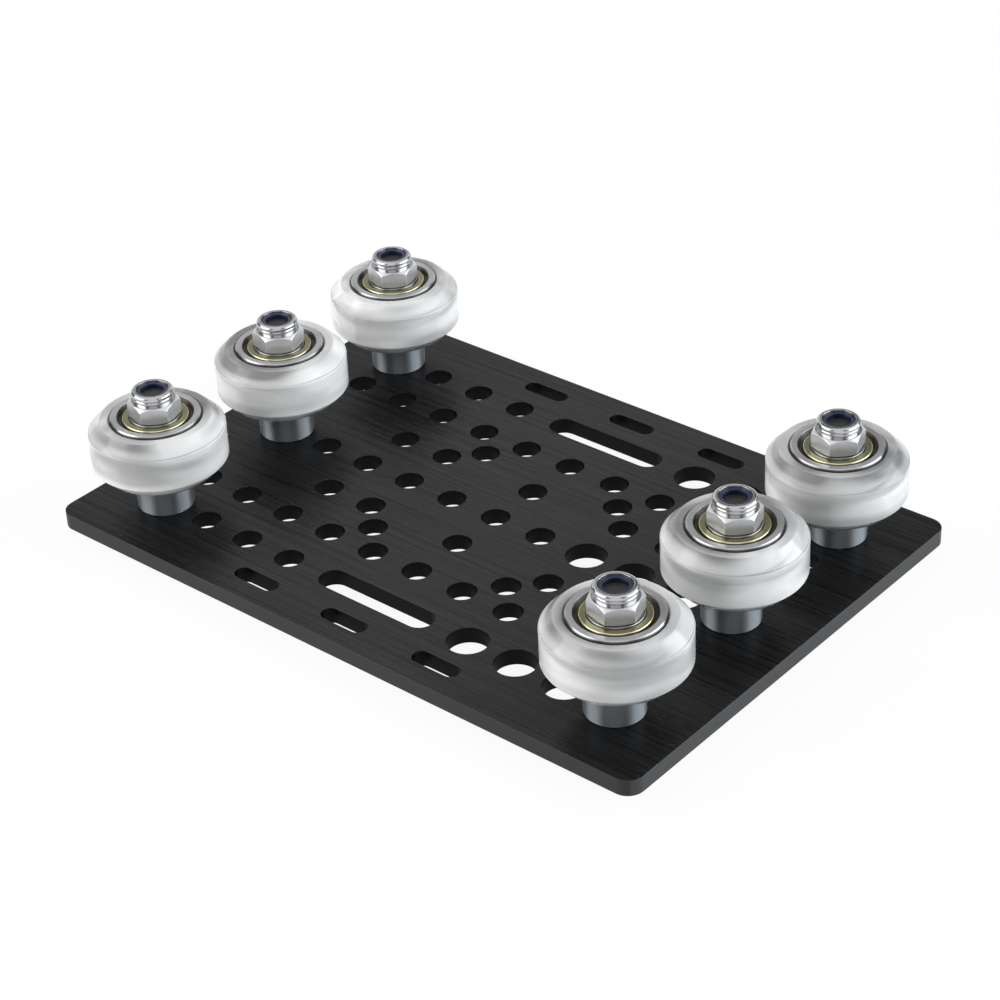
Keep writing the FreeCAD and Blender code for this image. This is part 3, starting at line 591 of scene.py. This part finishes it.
# Inner rings. Each outline goes out under the ring, up the ball groove between its shoulders, in
# over the top and down the chamfered bore.
def makeInnerRings(station, axle, finish):
    node = "bearing_inner_rings_" + station
    width, chamfer = bearing["width"], bearing["chamfer"]
    shoulder, bore = bearing["innerShoulder"] / 2, bearing["bore"] / 2
    shells = []
    for base in ringBases(node):
        track = [(r, base + width / 2 - z) for r, z in groove(bearing["innerShoulder"])]
        top = base + width
        outline = [(bore + chamfer, base), (shoulder, base), *track, (shoulder, top),
                   (bore + chamfer, top), (bore, top - chamfer), (bore, base + chamfer)]
        shells.append(ring(outline, axle, bearing["innerCrisp"], count=128, steps=3))
    makePiece("inner_rings_" + station, shells, finish, "carriage", "bearing_steel", node)


# Each shield is a dished washer: a flat inner band, a slope, and a flange in the outer ring's seat.
def makeShields(station, axle, finish):
    skin = bearing["shield"]
    near, seat = bearing["shieldSetback"], bearing["seatDepth"]
    edge = bearing["innerShoulder"] / 2 + bearing["shieldGap"]
    rim, outside = bearing["shieldRim"] / 2, bearing["shieldSeat"] / 2
    foot = rim + bearing["shieldSlope"]
    section = [(edge, near), (rim, near), (foot, seat - skin), (outside, seat - skin),
               (outside, seat), (foot - skin, seat), (rim - skin, near + skin), (edge, near + skin)]
    trims = [0.05, 0.14, 0.05, 0.04, 0.04, 0.05, 0.1, 0.05]  # widest at the rolled rim
    shells = []
    for base in ringBases("bearing_outer_rings_" + station):
        for face, inward in ((base, 1), (base + bearing["width"], -1)):
            outline = [(r, face + z * inward) for r, z in section]
            shells.append(ring(outline, axle, trims, count=144))
    makePiece("shields_" + station, shells, finish, "wheel_" + station, "yellow_zinc",
              "bearing_shields_" + station)


# Ground steel with fine grinding rings, with painted shade on the outer chamfer and close under the
# nut.
def polishedSteel():
    finish, start = newFinish("polishedSteel")
    marks = turningMarks(start, bearing["grinding"])
    # painted shade: the outer chamfer and the inner ring's face under the nut take the dark colour
    edge = (radius(start) > bearing["darkEdge"]) + nearRadius(start, *bearing["darkFace"])
    ground = blend(start, marks, *bearing["steel"])
    finishWith(start, {
        "Base Color": blend(start, edge, ground, bearing["edge"]),
        "Metallic": 1.0,
        "Roughness": between(marks, *bearing["steelRoughness"]),
        "Anisotropic": 0.8,
        "Anisotropic Rotation": 0.25,
    })
    return finish


# Yellow passivated sheet: gold on the flat band, with painted shade making it dull and nearly black
# down in the groove, and a painted highlight along its rolled rim.
def yellowSheet():
    finish, start = newFinish("yellowSheet")
    cloud = noise(start, here(start), 700.0, detail=3.0)
    rim = bearing["shieldRim"] / 2
    # painted shade: from the rim outwards the sheet turns nearly black down in the groove
    down = spread(start, radius(start), rim, rim + bearing["shieldSlope"])
    sheet = blend(start, down, blend(start, cloud, *bearing["gold"]), bearing["dark"])
    # painted highlight along the shield's rolled rim
    rolled = nearRadius(start, rim, bearing["rolledReach"])
    finishWith(start, {
        "Base Color": blend(start, rolled, sheet, bearing["rolled"]),
        "Metallic": 1.0,
        "Roughness": between(cloud, *bearing["goldRoughness"]),
        "Anisotropic": 0.6,
        "Anisotropic Rotation": 0.25,
    })
    return finish


nut = {
    "flats": 8.0,
    "hexHeight": 3.05,
    "turn": 46.0,                           # the hexagon's turn about its axle, in degrees
    "topDrop": 0.6,                         # how far the turned ends take the corners down
    "baseDrop": 0.3,
    "soft": 0.08,                           # rounding of the upright corners
    "lead": 0.15,                           # chamfer at both ends of the bore
    "trimInset": 0.04,
    "bore": 5.0,
    "neck": 6.7,
    "neckHeight": 3.35,
    "bead": 7.0,
    "beadHeights": (3.6, 3.85),
    "collar": 7.35,
    "collarFoot": 4.0,
    "collarRise": 0.2,
    "collarRound": 0.5,
    "insertSeat": 5.6,
    "insertFoot": 3.4,
    "zinc": ((0.55, 0.55, 0.56), (0.66, 0.66, 0.67)),
    "turned": (0.5, 0.5, 0.51),
    "metallic": (0.95, 0.82),               # on the turned parts and on the flats
    "roughness": (0.14, 0.18),
    "satin": 0.2,                           # how much rougher the flats are
    "satinFrom": 3.8,                       # radius where the flats begin
}


# Lock nut. Its outline runs from the bore out under the hexagon, up the hexagon's side, in over
# the turned corners, up the neck, bead and collar, and down inside. The side's radius changes with
# the turn as a hexagon's does, and the corner trims are cones that meet it where it stands out.
def makeNut(station, axle, finish):
    node = "lock_nut_" + station
    low, high = nodeBox(node)
    base, top = low[2], high[2]
    turns, side = hexagon(nut["flats"], nut["soft"], nut["turn"])
    flat = nut["flats"] / 2 - nut["trimInset"]
    share = (side - flat) / (nut["flats"] / math.sqrt(3) - flat)
    hexTop = base + nut["hexHeight"]
    neck, bead, collar = nut["neck"] / 2, nut["bead"] / 2, nut["collar"] / 2
    bore, seat, roll = nut["bore"] / 2, nut["insertSeat"] / 2, nut["collarRound"]
    foot = base + nut["collarFoot"]
    sections = [                            # radius, height and rounding of each corner
        (bore + nut["lead"], base, 0.04),
        (flat, base, 0.06),
        (side, base + nut["baseDrop"] * share, 0.07),
        (side, hexTop - nut["topDrop"] * share, 0.07),
        (flat, hexTop, 0.08),
        (neck, hexTop, 0.05),
        (neck, base + nut["neckHeight"], 0.05),
        (bead, base + nut["beadHeights"][0], 0.08),
        (bead, base + nut["beadHeights"][1], 0.08),
        (neck, foot, 0.05),
        (collar, foot + nut["collarRise"], 0.12),
        (collar, top - roll, 0.01),
        *[(collar - roll + roll * math.cos(a), top - roll + roll * math.sin(a), 0.06)
          for a in np.radians([22.5, 45.0, 67.5, 88.0])],
        (seat, top, 0.07),
        (seat, base + nut["insertFoot"], 0.05),
        (bore, base + nut["insertFoot"], 0.05),
        (bore, base + nut["lead"], 0.04),
    ]
    outline = np.zeros((len(sections), len(turns), 3))
    for row, (r, z, _) in enumerate(sections):
        outline[row, :, 0] = r
        outline[row, :, 1] = z
    rows, slopes = softCorners(outline, [trim for _, _, trim in sections])
    makePiece("nut_" + station, [turned(rows, slopes, axle, turns)], finish, "carriage",
              "nut_zinc", node)


# Bright zinc over steel: the turned neck and collar mirror, and the hexagon's flats are satin.
def brightZinc():
    finish, start = newFinish("brightZinc")
    cloud = noise(start, here(start), 500.0, detail=3.0)
    satin = radius(start) > nut["satinFrom"]
    finishWith(start, {
        "Base Color": blend(start, satin, nut["turned"], blend(start, cloud, *nut["zinc"])),
        "Metallic": between(satin, *nut["metallic"]),
        "Roughness": between(cloud, *nut["roughness"]) + satin * nut["satin"],
    })
    return finish


insert = {
    "outside": 5.6,
    "formed": 5.0,                          # bore that the thread has opened
    "opening": 4.05,
    "step": 0.05,                           # gap over the screw's tip
    "navy": ((0.003, 0.006, 0.026), (0.005, 0.010, 0.042)),
    "roughness": (0.3, 0.45),
}


# Nylon rings. Each outline goes up the outside, in over the top to the round opening, down it to
# just over the screw's tip, and down the formed bore.
def makeInserts(finish):
    low, high = nodeBox("nylon_inserts")
    trims = [0.03, 0.03, 0.08, 0.14, 0.05, 0.03]  # widest round the opening
    shells = []
    for station, axle in stations.items():
        step = nodeBox("axle_screw_" + station)[1][2] + insert["step"]
        outside, formed, opening = (insert[key] / 2 for key in ("outside", "formed", "opening"))
        outline = [(formed, low[2]), (outside, low[2]), (outside, high[2]), (opening, high[2]),
                   (opening, step), (formed, step)]
        shells.append(ring(outline, axle, trims, count=96))
    makePiece("insert_rings", shells, finish, "carriage", "blue_nylon", "nylon_inserts")


def navyNylon():                            # moulded nylon with a fine uneven skin
    finish, start = newFinish("navyNylon")
    cloud = noise(start, here(start), 900.0, detail=3.0)
    finishWith(start, {
        "Base Color": blend(start, cloud, *insert["navy"]),
        "Roughness": between(cloud, *insert["roughness"]),
        "Normal": bump(start, cloud, strength=0.08, depth=0.00003),
    })
    return finish


screw = {
    "shank": 4.9,
    "head": 9.5,
    "headHeight": 2.75,
    "headRim": 0.4,
    "headFlat": 5.2,
    "socket": 3.0,
    "socketDepth": 1.6,
    "tipChamfer": 0.4,
    "pitch": 0.8,
    "threadDepth": 0.42,
    "crest": 0.15,                          # how flat the thread's crest is
    "threadFoot": 9.0,                      # height over the crown where the thread starts
    "socketSoft": 0.1,                      # rounding of the socket, head and tip
    "headSoft": 0.06,
    "tipSoft": 0.05,
    "steel": ((0.035, 0.035, 0.036), (0.075, 0.075, 0.077)),
    "roughness": (0.36, 0.5),
}


# Screw. Its outline starts at the socket's ceiling, runs down the hexagon socket, over the domed
# head and up the shank to the tip. On the thread the radius is the shank's less depth times
# |2 ((z / pitch - t / whole turn) mod 1) - 1|, a ridge that climbs one pitch in a turn.
def makeScrew(station, axle, finish):
    node = "axle_screw_" + station
    low, high = nodeBox(node)
    base, tip, shank = low[2], high[2], screw["shank"] / 2
    turns, socket = hexagon(screw["socket"], screw["socketSoft"], 0, sideSteps=8, steps=3)
    flat, head = screw["headFlat"] / 2, screw["head"] / 2
    rim = screw["headHeight"] - screw["headRim"]
    dome = rim + (head ** 2 - flat ** 2 - rim ** 2) / (2 * rim)  # height of the dome's centre
    bulge = math.hypot(head, dome - rim)
    across = np.linspace(flat, head, 12)
    lower = [(0, screw["socketDepth"]), (socket, screw["socketDepth"]), (socket, 0),
             *[(r, dome - math.sqrt(bulge ** 2 - r ** 2)) for r in across],
             (head, screw["headHeight"]), (shank, screw["headHeight"]),
             (shank, screw["threadFoot"])]
    outline = np.zeros((len(lower), len(turns), 3))
    for row, (r, z) in enumerate(lower):
        outline[row, :, 0] = r
        outline[row, :, 1] = base + z
    below = softCorners(outline, screw["headSoft"], steps=2, closed=False)
    start, end = base + screw["threadFoot"], tip - screw["tipChamfer"]
    count = int((end - start) / screw["pitch"] * 8)  # eight rows to a ridge
    height = np.linspace(start, end, count)[1:-1, None] + 0 * turns
    climb = (height / screw["pitch"] - turns / (2 * math.pi)) % 1
    fade = np.clip((height - start) / screw["pitch"], 0, 1)
    crest = screw["crest"]
    ridge = np.clip((1 + crest) * np.abs(2 * climb - 1) - crest, 0, 1)
    thread = np.zeros(height.shape + (3,))
    thread[..., 0] = shank - screw["threadDepth"] * fade * ridge
    thread[..., 1] = height
    last = [(shank, end), (shank - screw["tipChamfer"], tip), (0, tip)]
    outline = np.repeat(level(last)[:, None], len(turns), 1)
    above = softCorners(outline, screw["tipSoft"], steps=2, closed=False)
    rows = np.concatenate([below[0], thread, above[0]])
    slopes = np.concatenate([below[1], np.gradient(thread, axis=0), above[1]])
    shell = turned(rows, slopes, axle, turns, closed=False)
    makePiece("screw_" + station, [shell], finish, "carriage", "dark_screw_steel", node)


def darkSteel():                            # black oxide over turned steel
    finish, start = newFinish("darkSteel")
    marks = turningMarks(start, 0.12)
    cloud = noise(start, here(start), 600.0, detail=3.0)
    finishWith(start, {
        "Base Color": blend(start, cloud, *screw["steel"]),
        "Metallic": 0.8,
        "Roughness": between(cloud, *screw["roughness"]),
        "Normal": bump(start, marks, strength=0.12, depth=0.00002),
    })
    return finish


spacer = {
    "chamfer": 0.2,
    "bore": 5.1,
    "boss": 7.1,
    "bossDepth": 2.5,
    "crisp": 0.06,
    "blueGrey": ((0.16, 0.175, 0.187), (0.205, 0.224, 0.238)),
    "roughness": (0.5, 0.58),
}


# The plain spacer's outline goes out under it, up the chamfered outside and in to the bore.
def makePlainSpacer(station, axle, finish):
    node = "plain_spacer_" + station
    low, high = nodeBox(node)
    outside, chamfer, bore = (high - low)[0] / 2, spacer["chamfer"], spacer["bore"] / 2
    outline = [(bore, low[2]), (outside - chamfer, low[2]), (outside, low[2] + chamfer),
               (outside, high[2] - chamfer), (outside - chamfer, high[2]), (bore, high[2])]
    shell = ring(outline, axle, spacer["crisp"])
    makePiece("spacer_" + station, [shell], finish, "carriage", "spacer_aluminium", node)


# The eccentric spacer has a boss below as well. Body and boss share one centre, shifted from the
# axle that the bore runs on.
def makeEccentricSpacer(station, axle, finish):
    node = "eccentric_spacer_" + station
    low, high = nodeBox(node)
    outside, chamfer, bore = (high - low)[0] / 2, spacer["chamfer"], spacer["bore"] / 2
    shift, foot = (low + high)[1] / 2 - axle[1], low[2] + spacer["bossDepth"]
    boss = spacer["boss"] / 2
    outline = [(bore, low[2], 0), (boss, low[2], shift), (boss, foot, shift),
               (outside - chamfer, foot, shift), (outside, foot + chamfer, shift),
               (outside, high[2] - chamfer, shift), (outside - chamfer, high[2], shift),
               (bore, high[2], 0)]
    shell = turned(*softCorners(outline, spacer["crisp"]), axle, evenTurns(160))
    makePiece("spacer_" + station, [shell], finish, "carriage", "spacer_aluminium", node)


# Turned aluminium with a cool grey cast.
def turnedAluminium():
    finish, start = newFinish("turnedAluminium")
    marks = turningMarks(start, 0.1)
    finishWith(start, {
        "Base Color": blend(start, marks, *spacer["blueGrey"]),
        "Metallic": 0.85,
        "Roughness": between(marks, *spacer["roughness"]),
        "Anisotropic": 0.95,
        "Anisotropic Rotation": 0.25,
    })
    return finish


shim = {
    "inside": 5.02,
    "outside": 10.0,
    "crisp": 0.08,
    "steel": ((0.44, 0.45, 0.46), (0.56, 0.57, 0.58)),
    "roughness": (0.25, 0.38),
}


# Each shim's outline is a rectangle of radius and height.
def makeShims(name, node, finish):
    low, high = nodeBox(node)
    inside, outside = shim["inside"] / 2, shim["outside"] / 2
    outline = [(inside, low[2]), (outside, low[2]), (outside, high[2]), (inside, high[2])]
    shells = [ring(outline, axle, shim["crisp"], count=128) for axle in stations.values()]
    makePiece(name, shells, finish, "carriage", "shim_steel", node)


def groundSteel():                          # shims and the bearings' cages
    finish, start = newFinish("groundSteel")
    marks = turningMarks(start, 0.1)
    finishWith(start, {
        "Base Color": blend(start, marks, *shim["steel"]),
        "Metallic": 1.0,
        "Roughness": between(marks, *shim["roughness"]),
        "Normal": bump(start, marks, strength=0.1, depth=0.00001),
    })
    return finish


finishes = {
    "clear": frostedClear(), "steel": polishedSteel(), "gold": yellowSheet(),
    "zinc": brightZinc(), "navy": navyNylon(), "dark": darkSteel(),
    "aluminium": turnedAluminium(), "ground": groundSteel(),
}
for station, axle in stations.items():
    makeTyre(station, axle, finishes["clear"])
    makeOuterRings(station, axle, finishes["steel"])
    makeInnerRings(station, axle, finishes["steel"])
    makeShields(station, axle, finishes["gold"])
    makeNut(station, axle, finishes["zinc"])
    makeScrew(station, axle, finishes["dark"])
    if "plain_spacer_" + station in frame["nodes"]:
        makePlainSpacer(station, axle, finishes["aluminium"])
    else:
        makeEccentricSpacer(station, axle, finishes["aluminium"])
    for node, finish in (("bearing_balls_", "steel"), ("bearing_cages_", "ground")):
        for slot in frame["nodes"][node + station].material_slots:
            slot.material = finishes[finish]
makeInserts(finishes["navy"])
makeShims("middle_shims", "bearing_shims", finishes["ground"])
makeShims("lower_shims", "spacer_shims", finishes["ground"])
print("wheel sets:", len(stations))

stage = {
    "floorSize": 6.0,                       # metres, as everything on the stage is
    "floorShare": 0.93,                     # how much of the floor's white is there without light
    "floorColour": (0.97, 0.97, 0.97, 1),
    "worldLight": 0.44,
    "cameraPlace": (0.249697, -0.279536, 0.248494),
    "aim": (-0.002895, 0.004611, 0.005750),
    "lens": 93.099,
    "roll": -2.85,
    "softboxes": {                          # place, target, width and height, watts, colour
        "leftBox": ((-0.42, -0.46, 0.3), (0, 0, 0.01), (0.8, 0.5), 4.6, (1, 1, 1)),
        "rightBox": ((0.5, 0.34, 0.2), (0.02, 0, 0.01), (0.7, 0.4), 4.5, (0.9, 0.96, 1.0)),
    },
    "glow": ((0, 0, 0.065), 0.02, 0.08),    # lamp between the wheel rows: place, radius, watts
    "mirrored": {                           # cards, by the corners that the plate shows them at
        "leftShade": ((-0.049, -0.09), (-0.035, -0.09), (-0.038, 0.09), (-0.053, 0.09)),
        "rightShade": ((0.050, -0.09), (0.100, -0.09), (0.100, 0.09), (0.042, 0.09)),
        "leftVeil": ((-0.1, -0.09), (-0.049, -0.09), (-0.053, 0.06), (-0.1, 0.06)),
    },
    "veil": 0.6,                            # how much of the white the pale card gives back
    "mirroredReach": 1.9,                   # how many times further than the plate those stand
    "flags": {                              # dark cards for the metal: place, width and height
        "leftFlag": ((-0.6, -0.15, 0.15), (0.4, 0.5)),
        "frontFlag": ((0.05, -0.65, 0.25), (0.2, 0.5)),
        "rightFlag": ((0.62, -0.2, 0.3), (0.18, 0.5)),
        "backFlag": ((0.2, 0.62, 0.12), (0.4, 0.4)),
    },
}
square = ((-1, -1), (1, -1), (1, 1), (-1, 1))       # corners of a sheet, in half sides


def seenShare(start):                       # 1 for the rays of camera, metal and clear plastic
    path = [start.node("ShaderNodeLightPath", out=name)
            for name in ("Is Camera Ray", "Is Glossy Ray", "Is Transmission Ray")]
    return start.math("MINIMUM", path[0] + path[1] + path[2], 1.0)


def addSheet(name, corners, finish):        # one four-sided face for the stage
    mesh = bpy.data.meshes.new(name)
    mesh.from_pydata(np.array(corners).tolist(), [], [(0, 1, 2, 3)])
    mesh.materials.append(finish)
    sheet = addObject(name, mesh)
    return sheet


# The floor. Seen from below it is clear, so that the underside can be looked at.
def makeFloor():
    finish, start = newFinish("paleFloor")
    white = start.node("ShaderNodeEmission", {}, {"Color": (1, 1, 1, 1), "Strength": 1.0})
    matt = start.node("ShaderNodeBsdfDiffuse", {}, {"Color": stage["floorColour"]})
    share = seenShare(start) * stage["floorShare"]
    seen = start.node("ShaderNodeMixShader", {}, {0: share, 1: matt, 2: white})
    clear = start.node("ShaderNodeBsdfTransparent")
    under = start.node("ShaderNodeNewGeometry", out="Backfacing")
    both = start.node("ShaderNodeMixShader", {}, {0: under, 1: seen, 2: clear})
    start.node("ShaderNodeOutputMaterial", {}, {"Surface": both})
    half = stage["floorSize"] / 2
    addSheet("floor", [(a * half, b * half, 0) for a, b in square], finish)


# White where camera, metal and clear plastic see it, and a softer light for everything else.
def makeWorld():
    world = bpy.data.worlds.new("studio")
    world.use_nodes = True
    world.node_tree.nodes.clear()
    start = Wire(world.node_tree)
    strength = between(seenShare(start), stage["worldLight"], 1.0)
    glow = start.node("ShaderNodeBackground", {}, {"Color": (1, 1, 1, 1), "Strength": strength})
    start.node("ShaderNodeOutputWorld", {}, {"Surface": glow})
    bpy.context.scene.world = world


def addLamp(name, kind, place, power):
    lamp = bpy.data.lights.new(name, kind)
    lamp.energy = power
    holder = addObject(name, lamp)
    holder.location = place
    return lamp, holder


def addSoftbox(name, place, target, size, power, tint):
    lamp, holder = addLamp(name, "AREA", place, power)
    lamp.shape = "RECTANGLE"
    lamp.size, lamp.size_y = size
    lamp.color = tint
    holder.rotation_euler = (Vector(target) - Vector(place)).to_track_quat("-Z", "Y").to_euler()


# A small lamp that lights the inner sides of both wheel rows. Metal doesn't mirror it.
def addGlow(place, softness, power):
    lamp, holder = addLamp("glow", "POINT", place, power)
    lamp.shadow_soft_size = softness
    holder.visible_camera = holder.visible_glossy = holder.visible_transmission = False


def addCard(name, corners, finish):         # a sheet that only reflections show
    card = addSheet(name, corners, finish)
    card.visible_camera = card.visible_diffuse = False
    card.visible_shadow = card.visible_transmission = False


# A card that faces the object, with its height turned as far upwards as that allows.
def addFlag(name, place, size, finish):
    place = np.array(place)
    facing = -place / np.linalg.norm(place)
    across = np.cross(up, facing)
    across /= np.linalg.norm(across)
    along = np.cross(facing, across)
    half = np.array(size) / 2
    corners = [place + across * half[0] * a + along * half[1] * b for a, b in square]
    addCard(name, corners, finish)


# A card that the plate shows the camera as the given shape. The camera's mirror image below the
# plate is the centre from which the shape is enlarged.
def addMirrored(name, shape, finish):
    top = nodeBox("gantry_plate")[1][2] * mm
    x, y, z = stage["cameraPlace"]
    eye = np.array([x, y, 2 * top - z])
    shown = np.array([(*corner, top) for corner in shape])
    addCard(name, eye + (shown - eye) * stage["mirroredReach"], finish)


def flagCloth():                            # dark cards
    finish, start = newFinish("flagCloth")
    black = (0.01, 0.01, 0.01, 1)
    finishWith(start, {"Base Color": black, "Roughness": 1.0, "Specular IOR Level": 0.0})
    return finish


def paleCard():                             # cards that lift a reflection a little
    finish, start = newFinish("paleCard")
    glow = start.node("ShaderNodeEmission", {}, {"Color": (1, 1, 1, 1), "Strength": stage["veil"]})
    start.node("ShaderNodeOutputMaterial", {}, {"Surface": glow})
    return finish


def makeCamera():
    camera = bpy.data.cameras.new("camera")
    camera.lens = stage["lens"]
    camera.sensor_width = 36.0
    holder = addObject("camera", camera)
    ahead = Vector(stage["aim"]) - Vector(stage["cameraPlace"])
    roll = Matrix.Rotation(math.radians(stage["roll"]), 3, "Z")
    turn = ahead.to_track_quat("-Z", "Y").to_matrix() @ roll
    holder.matrix_world = Matrix.Translation(stage["cameraPlace"]) @ turn.to_4x4()
    bpy.context.scene.camera = holder


makeFloor()
makeWorld()
makeCamera()
for name, setting in stage["softboxes"].items():
    addSoftbox(name, *setting)
addGlow(*stage["glow"])
cloth = flagCloth()
veil = paleCard()
for name, shape in stage["mirrored"].items():
    addMirrored(name, shape, veil if name.endswith("Veil") else cloth)
for name, (position, size) in stage["flags"].items():
    addFlag(name, position, size, cloth)
bpy.context.scene.view_settings.view_transform = "Standard"
print("stage: floor, world, lamps and camera")
